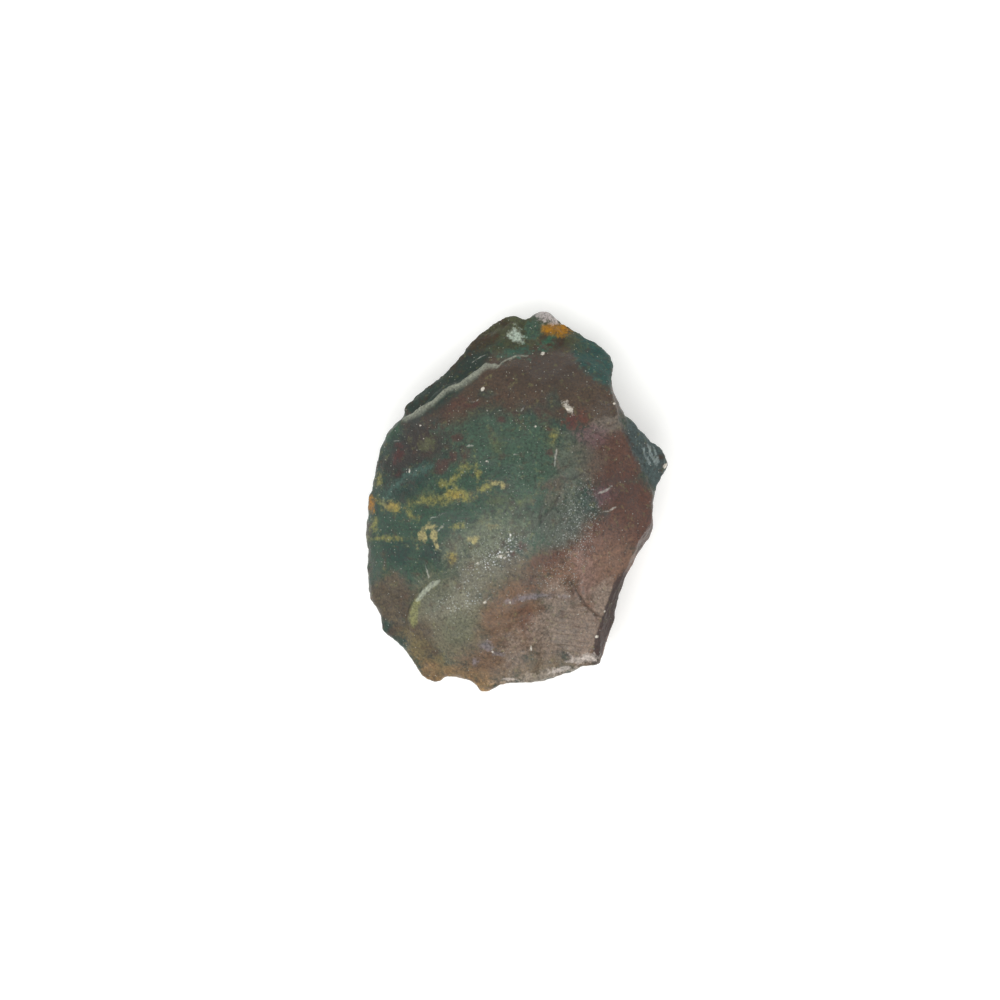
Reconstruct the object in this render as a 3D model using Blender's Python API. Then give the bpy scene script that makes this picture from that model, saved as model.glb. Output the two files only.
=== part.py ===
"""A raw bloodstone: one broken lump of green and red chalcedony, lying on its flattest side.

The stone is made the way it came about. Every face of it is a break, and a break is a place, a
way it faces and how hollow or swollen it is. The lump is what is left inside all of them and
inside the ragged rim, after the flakes that later blows took off. X runs across the stone, Y
along it and Z up, with the broad face on top. All sizes below are in millimetres and degrees.
"""

import math
from collections import namedtuple

import bmesh
import bpy
import numpy as np

MM = 0.001

# Driving sizes
WIDTH = 39.9
LENGTH = 50.2
HEIGHT = 18.6

# How finely the surface is looked for, outwards from the heart, and how many triangles are kept.
HEART = np.array((0.0, 0.0, 0.45 * HEIGHT))
SPHERE_LEVELS = 7
REACH = 34.0
MARCH_STEP = 0.5
HALVINGS = 14
BODY_TRIANGLES = 9000

# How ridges are worn, and what the rim is given beforehand because wearing takes it off again.
RIDGE_WEAR = 0.5
RIDGE_PASSES = 3
WORN_OFF = 0.18
RIM_BLEND = 0.45

# The rim seen from above, clockwise from the top: its corners, and how far the stretch to the
# next corner bows out (above 0) or in (below 0).
Corner = namedtuple("Corner", "x y bow")
RIM = [
    Corner(4.3, 25.1, 0.30),
    Corner(7.2, 22.6, 0.00),
    Corner(8.7, 21.2, 0.35),
    Corner(11.3, 20.1, 0.25),
    Corner(12.8, 17.4, -0.15),
    Corner(12.4, 14.4, 0.10),
    Corner(13.5, 12.0, 0.00),
    Corner(14.1, 11.0, 0.10),
    Corner(16.1, 8.8, 0.10),
    Corner(18.0, 7.1, 0.35),
    Corner(19.6, 5.3, 0.00),
    Corner(20.0, 4.6, 0.00),
    Corner(18.9, 2.9, -0.10),
    Corner(17.9, 0.5, -0.15),
    Corner(17.8, -3.4, 0.25),
    Corner(17.1, -5.7, -0.10),
    Corner(15.1, -8.5, -0.15),
    Corner(13.8, -11.6, -0.10),
    Corner(12.7, -16.0, 0.05),
    Corner(11.9, -18.8, 0.10),
    Corner(11.2, -21.0, 0.10),
    Corner(10.2, -21.7, -0.10),
    Corner(8.8, -21.6, 0.10),
    Corner(5.8, -22.9, 0.05),
    Corner(1.7, -24.0, -0.10),
    Corner(-1.5, -24.0, -0.10),
    Corner(-3.6, -24.9, 0.10),
    Corner(-4.9, -25.0, 0.05),
    Corner(-5.8, -23.8, 0.05),
    Corner(-8.7, -23.1, -0.15),
    Corner(-10.3, -24.0, 0.20),
    Corner(-12.2, -23.6, 0.10),
    Corner(-14.8, -19.6, 0.00),
    Corner(-15.4, -19.3, -0.15),
    Corner(-18.2, -17.3, 0.10),
    Corner(-17.9, -15.8, -0.15),
    Corner(-19.6, -12.6, 0.05),
    Corner(-19.7, -11.5, 0.05),
    Corner(-19.7, -5.5, 0.00),
    Corner(-20.0, -5.0, 0.15),
    Corner(-18.5, 5.2, 0.30),
    Corner(-16.4, 9.4, 0.10),
    Corner(-14.8, 10.9, 0.00),
    Corner(-14.9, 12.1, 0.10),
    Corner(-10.1, 16.0, -0.15),
    Corner(-6.6, 20.0, 0.15),
    Corner(-3.9, 23.0, 0.20),
    Corner(-2.1, 23.6, 0.00),
    Corner(-1.1, 24.1, 0.15),
    Corner(0.3, 23.7, 0.00),
    Corner(1.4, 23.7, 0.05),
    Corner(3.1, 24.9, 0.05),
]
ARC_STEPS = 5
RIM_STEPS = 720

# The wall under the ragged rim is more even: over how many rim steps, and from what depth.
EVEN_STEPS = 35
EVEN_DEPTH = 4.5

# The rim's height by compass direction (from +X towards +Y). Under it the wall leans in where no
# break has taken it away.
RIM_HEIGHTS = [
    (-180, 10.5), (-150, 9.6), (-125, 9.8), (-100, 11.4), (-80, 11.0), (-64, 6.2), (-32, 6.0),
    (-18, 11.0), (0, 12.0), (15, 9.2), (40, 9.6), (60, 9.4), (80, 9.6), (105, 10.0), (140, 10.0),
    (165, 10.4), (180, 10.5),
]
WALL_LEAN = 22.0

# A break: a point on it, the way it faces (azimuth from +X towards +Y, then elevation), its bow
# (1 / radius, above 0 swollen and below 0 hollow) and how softly it meets the breaks before it.
Break = namedtuple("Break", "name at azimuth elevation bow blend")
UPPER_BREAKS = [
    Break("crown", (1.0, 0.5, 20.4), 60, 88, 0.0080, 0.0),
    Break("north slope", (1.0, 10.0, 18.8), 94, 69, 0.0080, 4.0),
    Break("south slope", (-1.0, -12.0, 18.6), 265, 71, 0.0080, 4.0),
    Break("east slope", (11.0, -1.0, 18.4), 354, 68, -0.0060, 3.5),
    Break("west slope", (-12.0, -2.0, 17.6), 175, 64, 0.0100, 4.0),
    Break("west shoulder", (-17.4, -2.0, 15.0), 180, 44, 0.0100, 3.0),
    Break("north-west shoulder", (-12.6, 9.4, 16.0), 142, 54, 0.0100, 3.0),
    Break("south-west shoulder", (-12.6, -15.0, 15.8), 225, 56, 0.0050, 2.5),
]
SIDE_BREAKS = [
    Break("side strip", (13.1, -14.0, 11.8), 342, 13, -0.0250, 0.10),
    Break("under west", (-19.3, -3.0, 7.6), 184, -40, -0.0120, 0.3),
    Break("under south-west", (-15.2, -18.0, 7.4), 224, -34, 0.0100, 0.3),
    Break("under south", (-3.0, -24.3, 8.6), 266, -44, -0.0150, 0.3),
    Break("under south-east", (11.4, -20.0, 3.4), 335, -22, 0.0000, 0.3),
    Break("under east", (18.6, -1.0, 8.4), 4, -36, -0.0120, 0.3),
    Break("under north-east", (17.0, 9.4, 6.4), 40, -40, 0.0060, 0.3),
    Break("under north", (10.4, 20.4, 7.6), 64, -28, -0.0100, 0.3),
    Break("under crust", (0.0, 24.2, 7.2), 99, -48, 0.0100, 0.3),
    Break("under north-west", (-11.0, 16.0, 7.8), 132, -33, -0.0140, 0.3),
    Break("belly", (-7.0, 7.0, 0.3), 128, -80, 0.0040, 0.4),
]

# The line along which the broad face drops to the folded shoulder on the right, and that
# shoulder's folds: how deep they are, how far apart, and where they are and fade out.
SHOULDER_LINE = [
    (11.6, 17.0), (13.5, 12.0), (14.2, 9.9), (15.2, 7.1), (16.4, 5.4), (17.0, 2.9), (19.6, -2.0),
]
FOLD_DEPTH = 0.30
FOLD_PITCH = 1.7
FOLD_HOME = (18.0, 6.0)
FOLD_SPREAD = 5.0

# A cut across the broad face: the ground on the left of its line is lower, by the drop at the
# line and by the slope for each millimetre further, and it fades in over a length at both ends.
Cut = namedtuple("Cut", "name line drop slope ends")
CUTS = [
    Cut("crust", [(-13.0, 19.6), (-3.4, 19.6), (1.6, 20.0), (6.2, 20.6), (9.0, 27.0)], 0.1, 0.30, 3),
    Cut("north-east chamfer", [(0.0, 26.6), (5.4, 20.4), (9.6, 17.4), (16.0, 9.4)], 0.0, 0.85, 2),
    Cut(
        "ledge",
        [
            (-23.0, 8.2), (-14.6, 11.1), (-13.3, 11.6), (-11.4, 12.9), (-9.5, 14.6),
            (-7.4, 15.4), (-5.6, 16.8), (-4.0, 18.1), (-3.0, 17.9), (1.8, 19.3),
        ],
        1.35, 0.0, 8,
    ),
    Cut(
        "ridge",
        [(18.6, 12.6), (13.8, 11.6), (12.6, 11.0), (11.0, 10.6), (9.7, 10.0), (7.0, 9.0), (5.2, 6.6)],
        0.65, -0.06, 5,
    ),
    Cut(
        "corner scar",
        [(12.2, -16.2), (11.5, -15.8), (10.1, -14.9), (9.0, -13.9), (8.0, -12.0), (6.5, -9.1)],
        0.9, -0.08, 3,
    ),
    Cut("scar side", [(4.7, -14.0), (4.2, -16.2), (3.0, -20.2), (0.6, -25.6)], 0.25, -0.05, 3),
    Cut(
        "crescent",
        [
            (-13.2, -17.2), (-14.1, -16.5), (-13.9, -15.2), (-13.5, -13.9), (-12.7, -12.8),
            (-11.0, -10.8), (-10.1, -10.2),
        ],
        1.0, -0.20, 2.2,
    ),
    Cut("crinkle", [(9.6, -19.6), (8.4, -20.0), (6.2, -19.4), (4.2, -19.4), (3.4, -20.4)], 0.3, 0, 1.5),
    Cut("folded shoulder", SHOULDER_LINE, 0.9, 0.42, 3),
]

# Lumps of the crust at the top and elsewhere: where they stand, how wide and how high.
Lump = namedtuple("Lump", "x y radius height")
LUMPS = [
    Lump(-3.4, 21.4, 2.0, 0.45),
    Lump(-0.5, 21.9, 1.7, 0.75),
    Lump(1.9, 22.6, 1.5, 0.50),
    Lump(4.3, 24.2, 1.7, 1.00),
    Lump(5.4, 22.3, 1.5, 0.80),
    Lump(3.2, 20.6, 1.3, 0.35),
    Lump(19.0, 5.4, 1.5, 0.90),
    Lump(-4.2, -24.2, 1.6, 0.50),
]

# A flake scar: a shallow dish of this radius and depth, sunk into the face at a point that looks
# this way.
Scar = namedtuple("Scar", "name at azimuth elevation radius depth")
SCARS = [
    Scar("south foot scar", (-4.0, -18.6, 4.0), 262, -42, 6.2, 1.00),
    Scar("south-west foot scar", (-13.0, -15.6, 4.4), 220, -30, 4.8, 0.80),
    Scar("west foot scar", (-16.0, 2.0, 4.6), 178, -38, 5.6, 0.90),
    Scar("north-west foot scar", (-7.6, 15.8, 4.6), 130, -30, 5.2, 0.90),
    Scar("north-east foot scar", (12.0, 15.0, 4.4), 50, -28, 5.0, 0.90),
    Scar("east foot scar", (15.2, -3.4, 6.0), 0, -30, 5.4, 0.85),
    Scar("south-east foot scar", (11.6, -14.4, 3.2), 340, -24, 3.6, 0.60),
]

# Unevenness of every face: amplitude and wavelength of each swell.
SWELLS = [(0.34, 11.0), (0.13, 4.2), (0.05, 1.8)]
SWELL_SEED = 7
RAGGED_DEPTH = 0.08
RAGGED_WAVE = 2.2

# Small flakes off the rim
NIBBLES = 36
NIBBLE_RADII = (0.9, 2.2)
NIBBLE_BITE = (0.15, 0.42)
NIBBLE_SEED = 21

STONE_COLOUR = (0.045, 0.085, 0.065, 1.0)
STONE_ROUGHNESS = 0.42


def facing(azimuth, elevation):
    """The unit vector that looks this way."""
    a, e = math.radians(azimuth), math.radians(elevation)
    return np.array((math.cos(a) * math.cos(e), math.sin(a) * math.cos(e), math.sin(e)))


def above(face, points):
    """How far each point lies outside a break, which curves by its bow away from its own point."""
    offset = points - np.array(face.at)
    normal = facing(face.azimuth, face.elevation)
    height = offset @ normal
    aside = np.einsum("ij,ij->i", offset, offset) - height**2
    return height + 0.5 * face.bow * aside


def softer_max(first, second, blend):
    """The larger of two fields, rounded off where they meet."""
    if blend == 0:
        return np.maximum(first, second)
    overlap = np.maximum(blend - np.abs(first - second), 0) / blend
    return np.maximum(first, second) + 0.25 * blend * overlap**2


def swell(points, wavelength, seed):
    """A smooth wandering field between about -1 and 1."""
    rng = np.random.default_rng(seed)
    waves = 9
    ways = rng.normal(size=(waves, 3))
    ways /= np.linalg.norm(ways, axis=1, keepdims=True)
    lengths = wavelength * rng.uniform(0.7, 1.5, waves)
    phases = rng.uniform(0, 2 * math.pi, waves)
    turns = points @ (2 * math.pi * ways / lengths[:, None]).T + phases
    return np.sin(turns).sum(axis=1) / math.sqrt(waves)


def wander(points):
    """The points pushed about by the swells, so that no face and no ridge is straight."""
    moved = points.copy()
    for number, (amplitude, wavelength) in enumerate(SWELLS):
        for axis in range(3):
            seed = SWELL_SEED + 10 * number + axis
            moved[:, axis] += amplitude * swell(points, wavelength, seed)
    return moved


def rim_outline():
    """Compass directions, the ragged rim's reach in each, and the wall's more even reach."""
    points = []
    for here, there in zip(RIM, RIM[1:] + RIM[:1]):
        start, end = np.array(here[:2]), np.array(there[:2])
        along = end - start
        outward = np.array((-along[1], along[0])) / np.linalg.norm(along)
        for step in range(ARC_STEPS):
            share = step / ARC_STEPS
            points.append(start + along * share + outward * here.bow * 4 * share * (1 - share))
    points = np.array(points)
    angles = np.degrees(np.arctan2(points[:, 1], points[:, 0]))
    compass = np.linspace(-180, 180, RIM_STEPS, endpoint=False)
    ragged = np.interp(compass, angles, np.linalg.norm(points, axis=1), period=360)
    window = np.hanning(EVEN_STEPS) / np.hanning(EVEN_STEPS).sum()
    side = EVEN_STEPS // 2
    even = np.convolve(np.concatenate((ragged[-side:], ragged, ragged[:side])), window, "valid")
    return compass, ragged, even


def beside_line(points, line):
    """How far points lie to the left of a bent line in plan, how far along it, and its length."""
    nearest = np.full(len(points), np.inf)
    left = np.zeros(len(points))
    along = np.zeros(len(points))
    done = 0.0
    for start, end in zip(line, line[1:]):
        start, run = np.array(start), np.array(end) - np.array(start)
        length = math.hypot(*run)
        offset = points[:, :2] - start
        share = np.clip(offset @ run / length**2, 0, 1)
        side = run[0] * offset[:, 1] - run[1] * offset[:, 0]
        gap = np.linalg.norm(offset - share[:, None] * run, axis=1)
        rank = gap - 1e-4 * np.abs(side) / length
        closer = rank < nearest
        nearest = np.where(closer, rank, nearest)
        left = np.where(closer, np.copysign(gap, side), left)
        along = np.where(closer, done + share * length, along)
        done += length
    return left, along, done


def cut_down(ground, cut, points):
    """The ground with the piece on the left of a cut gone."""
    left, along, length = beside_line(points, cut.line)
    fade = np.clip(np.minimum(along, length - along) / cut.ends, 0, 1)
    depth = np.maximum(cut.drop + cut.slope * np.maximum(left, 0), 0)
    depth = depth * fade * fade * (3 - 2 * fade)
    return np.maximum(ground, np.minimum(ground + depth, left))


def folds(points):
    """How much deeper the ground lies in the folds of the shoulder on the right."""
    left, along, _ = beside_line(points, SHOULDER_LINE)
    near = np.hypot(points[:, 0] - FOLD_HOME[0], points[:, 1] - FOLD_HOME[1]) / FOLD_SPREAD
    inside = (left > 0) * np.clip(1 - near**2, 0, 1)
    return FOLD_DEPTH * inside * np.sin(2 * math.pi * left / FOLD_PITCH + 0.5 * along)


def upper_ground(points):
    """The broad face with its cuts and lumps: below 0 under it and above 0 over it."""
    ground = above(UPPER_BREAKS[0], points)
    for face in UPPER_BREAKS[1:]:
        ground = softer_max(ground, above(face, points), face.blend)
    for cut in CUTS:
        ground = cut_down(ground, cut, points)
    ground = ground + folds(points)
    for lump in LUMPS:
        reach = np.hypot(points[:, 0] - lump.x, points[:, 1] - lump.y) / lump.radius
        ground = ground - lump.height * np.clip(1 - reach**2, 0, 1) ** 2
    return ground


def wall(points, outline):
    """How far points lie outside the ragged rim and the wall that leans in under it."""
    compass, ragged, even = outline
    azimuth = np.degrees(np.arctan2(points[:, 1], points[:, 0]))
    heights = np.array(RIM_HEIGHTS)
    below = np.maximum(np.interp(azimuth, heights[:, 0], heights[:, 1]) - points[:, 2], 0)
    share = np.minimum(below / EVEN_DEPTH, 1)
    reach = np.interp(azimuth, compass, ragged, period=360) * (1 - share)
    reach += np.interp(azimuth, compass, even, period=360) * share
    lean = math.tan(math.radians(WALL_LEAN)) * below
    rough = RAGGED_DEPTH * swell(points, RAGGED_WAVE, SWELL_SEED)
    return np.hypot(points[:, 0], points[:, 1]) - reach - WORN_OFF + lean + rough


def dish(scar, points):
    """How far points lie inside the ball whose underside hollows out a scar."""
    ball = (scar.radius**2 + scar.depth**2) / (2 * scar.depth)
    normal = facing(scar.azimuth, scar.elevation)
    centre = np.array(scar.at) + normal * (ball - scar.depth)
    return ball - np.linalg.norm(points - centre, axis=1)


def nibbles(outline):
    """Small scars spread round the edge under the rim, at seeded places."""
    rng = np.random.default_rng(NIBBLE_SEED)
    compass, ragged, _ = outline
    heights = np.array(RIM_HEIGHTS)
    found = []
    for number in range(NIBBLES):
        azimuth = -180 + 360 * (number + rng.uniform(0, 1)) / NIBBLES
        reach = np.interp(azimuth, compass, ragged, period=360)
        height = np.interp(azimuth, heights[:, 0], heights[:, 1]) - rng.uniform(1.2, 3.0)
        across = math.cos(math.radians(azimuth)) * reach
        along = math.sin(math.radians(azimuth)) * reach
        faces = azimuth + rng.uniform(-25, 25), rng.uniform(-50, -20)
        size = rng.uniform(*NIBBLE_RADII), rng.uniform(*NIBBLE_BITE)
        found.append(Scar(f"nibble {number}", (across, along, height), *faces, *size))
    return found


def stone_field(points, outline, small_scars):
    """Below 0 inside the stone and above 0 outside it."""
    bent = wander(points)
    field = upper_ground(bent)
    for face in SIDE_BREAKS:
        field = softer_max(field, above(face, bent), face.blend)
    field = softer_max(field, wall(points, outline), RIM_BLEND)
    for scar in SCARS + small_scars:
        field = np.maximum(field, dish(scar, bent))
    return field


def surface_distances(ways, field_at):
    """How far along each way from the heart the surface lies."""
    near = np.zeros(len(ways))
    far = np.full(len(ways), REACH)
    searching = np.ones(len(ways), bool)
    for distance in np.arange(MARCH_STEP, REACH, MARCH_STEP):
        rows = np.flatnonzero(searching)
        if not len(rows):
            break
        outside = field_at(HEART + ways[rows] * distance) > 0
        far[rows[outside]] = distance
        near[rows[~outside]] = distance
        searching[rows[outside]] = False
    for _ in range(HALVINGS):
        middle = 0.5 * (near + far)
        outside = field_at(HEART + ways * middle[:, None]) > 0
        far = np.where(outside, middle, far)
        near = np.where(outside, near, middle)
    return 0.5 * (near + far)


def clear_scene():
    for obj in list(bpy.data.objects):
        bpy.data.objects.remove(obj)


def rough_lump():
    """A ball whose points are drawn out from the heart of the stone to its surface."""
    bpy.ops.mesh.primitive_ico_sphere_add(subdivisions=SPHERE_LEVELS, radius=1.0)
    lump = bpy.context.active_object
    points = np.empty(len(lump.data.vertices) * 3, np.float32)
    lump.data.vertices.foreach_get("co", points)
    ways = points.reshape(-1, 3).astype(float) * (WIDTH / 2, LENGTH / 2, HEIGHT / 2)
    ways /= np.linalg.norm(ways, axis=1, keepdims=True)
    outline = rim_outline()
    small_scars = nibbles(outline)
    distances = surface_distances(ways, lambda p: stone_field(p, outline, small_scars))
    points = HEART + ways * distances[:, None]
    lump.data.vertices.foreach_set("co", (points * MM).astype(np.float32).ravel())
    lump.data.update()
    return lump


def fewer_triangles(lump, triangles):
    """The lump's mesh with its ridges worn a little and its flat stretches thinned out."""
    wear = lump.modifiers.new("wear", "SMOOTH")
    wear.factor = RIDGE_WEAR
    wear.iterations = RIDGE_PASSES
    thin = lump.modifiers.new("thin", "DECIMATE")
    thin.decimate_type = "COLLAPSE"
    thin.ratio = triangles / len(lump.data.polygons)
    graph = bpy.context.evaluated_depsgraph_get()
    mesh = bpy.data.meshes.new_from_object(lump.evaluated_get(graph))
    bpy.data.objects.remove(lump)
    return mesh


def cut_resting_face(mesh):
    """Cuts the underside off flat at Z = 0, where the stone rests."""
    shape = bmesh.new()
    shape.from_mesh(mesh)
    everything = shape.verts[:] + shape.edges[:] + shape.faces[:]
    cut = bmesh.ops.bisect_plane(
        shape, geom=everything, dist=1e-7, plane_co=(0, 0, 0), plane_no=(0, 0, -1), clear_outer=True
    )
    rim = [part for part in cut["geom_cut"] if isinstance(part, bmesh.types.BMEdge)]
    bmesh.ops.contextual_create(shape, geom=rim)
    bmesh.ops.recalc_face_normals(shape, faces=shape.faces[:])
    shape.to_mesh(mesh)
    shape.free()


def fit_driving_sizes(mesh):
    """Brings the stone to its driving sizes, its box's middle over the origin and its foot at 0."""
    points = np.empty(len(mesh.vertices) * 3, np.float32)
    mesh.vertices.foreach_get("co", points)
    points = points.reshape(-1, 3).astype(float)
    low, high = points.min(axis=0), points.max(axis=0)
    middle = np.array(((low[0] + high[0]) / 2, (low[1] + high[1]) / 2, 0.0))
    sizes = np.array((WIDTH, LENGTH, HEIGHT)) * MM
    points = (points - middle) * (sizes / (high - low))
    mesh.vertices.foreach_set("co", points.astype(np.float32).ravel())
    mesh.update()


def stone_material():
    material = bpy.data.materials.new("waxy chalcedony")
    material.use_nodes = True
    shader = material.node_tree.nodes["Principled BSDF"]
    shader.inputs["Base Color"].default_value = STONE_COLOUR
    shader.inputs["Roughness"].default_value = STONE_ROUGHNESS
    shader.inputs["Metallic"].default_value = 0.0
    return material


def main():
    clear_scene()
    mesh = fewer_triangles(rough_lump(), BODY_TRIANGLES)
    cut_resting_face(mesh)
    fit_driving_sizes(mesh)
    mesh.materials.clear()
    mesh.materials.append(stone_material())
    mesh.name = "bloodstone"
    stone = bpy.data.objects.new("bloodstone", mesh)
    bpy.context.scene.collection.objects.link(stone)
    mesh.shade_smooth()
    mesh.set_sharp_from_angle(angle=math.radians(30))


main()
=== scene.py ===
import math

import bmesh
import bpy
import numpy as np
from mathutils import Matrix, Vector, noise


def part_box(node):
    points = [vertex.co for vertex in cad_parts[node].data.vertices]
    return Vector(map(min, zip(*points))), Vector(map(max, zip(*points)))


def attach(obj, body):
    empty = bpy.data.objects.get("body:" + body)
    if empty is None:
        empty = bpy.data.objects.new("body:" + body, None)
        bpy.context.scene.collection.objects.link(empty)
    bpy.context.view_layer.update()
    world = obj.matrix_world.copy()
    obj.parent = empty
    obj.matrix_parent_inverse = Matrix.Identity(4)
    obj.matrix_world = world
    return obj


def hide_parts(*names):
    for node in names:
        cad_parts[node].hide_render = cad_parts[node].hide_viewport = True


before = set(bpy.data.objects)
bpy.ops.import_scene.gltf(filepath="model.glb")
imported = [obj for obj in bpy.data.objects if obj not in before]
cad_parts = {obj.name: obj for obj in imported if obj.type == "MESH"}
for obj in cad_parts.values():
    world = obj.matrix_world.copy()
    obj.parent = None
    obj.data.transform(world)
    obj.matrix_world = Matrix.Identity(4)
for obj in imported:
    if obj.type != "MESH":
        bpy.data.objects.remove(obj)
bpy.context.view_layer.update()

# The raw bloodstone, dressed over its imported solid: a finer skin with the break's ripples, grain
# and lips on it, coloured in patches as the stone grew, with painted sheen, glints and shade among
# them. Sizes are in millimetres. Places on the broad face are X across and Y along the stone, seen from
# above.
MM = 0.001
NODE = "bloodstone"

# The fine skin: the spacing of its points, how far and how often they are eased, and how near
# two of the solid's points count as one
SKIN_GRID = 0.25
SKIN_EASE = 0.5
SKIN_EASE_PASSES = 6
MERGE_DISTANCE = 0.001

# How the patches' borders wander: widely, and closely
WANDER_WIDE = 1.2
WANDER_WIDE_SPACING = 5.0
WANDER_CLOSE = 0.30
WANDER_CLOSE_SPACING = 1.3
MARK_WANDER = 0.75

# The noise's own seed, without which each run would wander differently, and how far apart in the
# noise two wanderings lie
WANDER_SEED = 4
WANDER_STEP = Vector((7.31, 3.17, 5.53))

# Marks and cracks show where the surface faces up at least this much, and elsewhere count as
# this far away.
LEAST_FACING = 0.15
OFF_TOP = 9.0

# Where the surface faces up less than this, a form's border wanders as a patch's does, and the
# ripples die out this fast.
FLANK_FACING = 0.5
RIPPLE_FADE = 6.0
RIPPLE_FORMS = ["ripple_right", "ripple_scar", "ripple_low"]

# Where the surface faces up less than this, the flank's facets come in this fast.
FACETS_FACING = 0.55
FACETS_RISE = 2.5

# Weathered or crushed faces, which shine less than the fresh break
DULL_FORMS = ["terrace", "chamfer", "crust", "shoulder", "strip"]

# The ledge's pale lip, partly its own thin edge and partly painted highlight where the edge catches the
# light: how wide it is and how it fades, and where its thin end fades to nothing
LIP_SHARP = 0.12
LIP_WIDTH = 1.0
THIN_LIP_WIDTH = 0.15
THIN_LIP_REACH = 1.2
THIN_LIP_SHARE = 0.8

# A streak loses this share of its width at its ends, and the higher the power, the nearer to them.
STREAK_THINNING = 0.6
STREAK_POWER = 4

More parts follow.
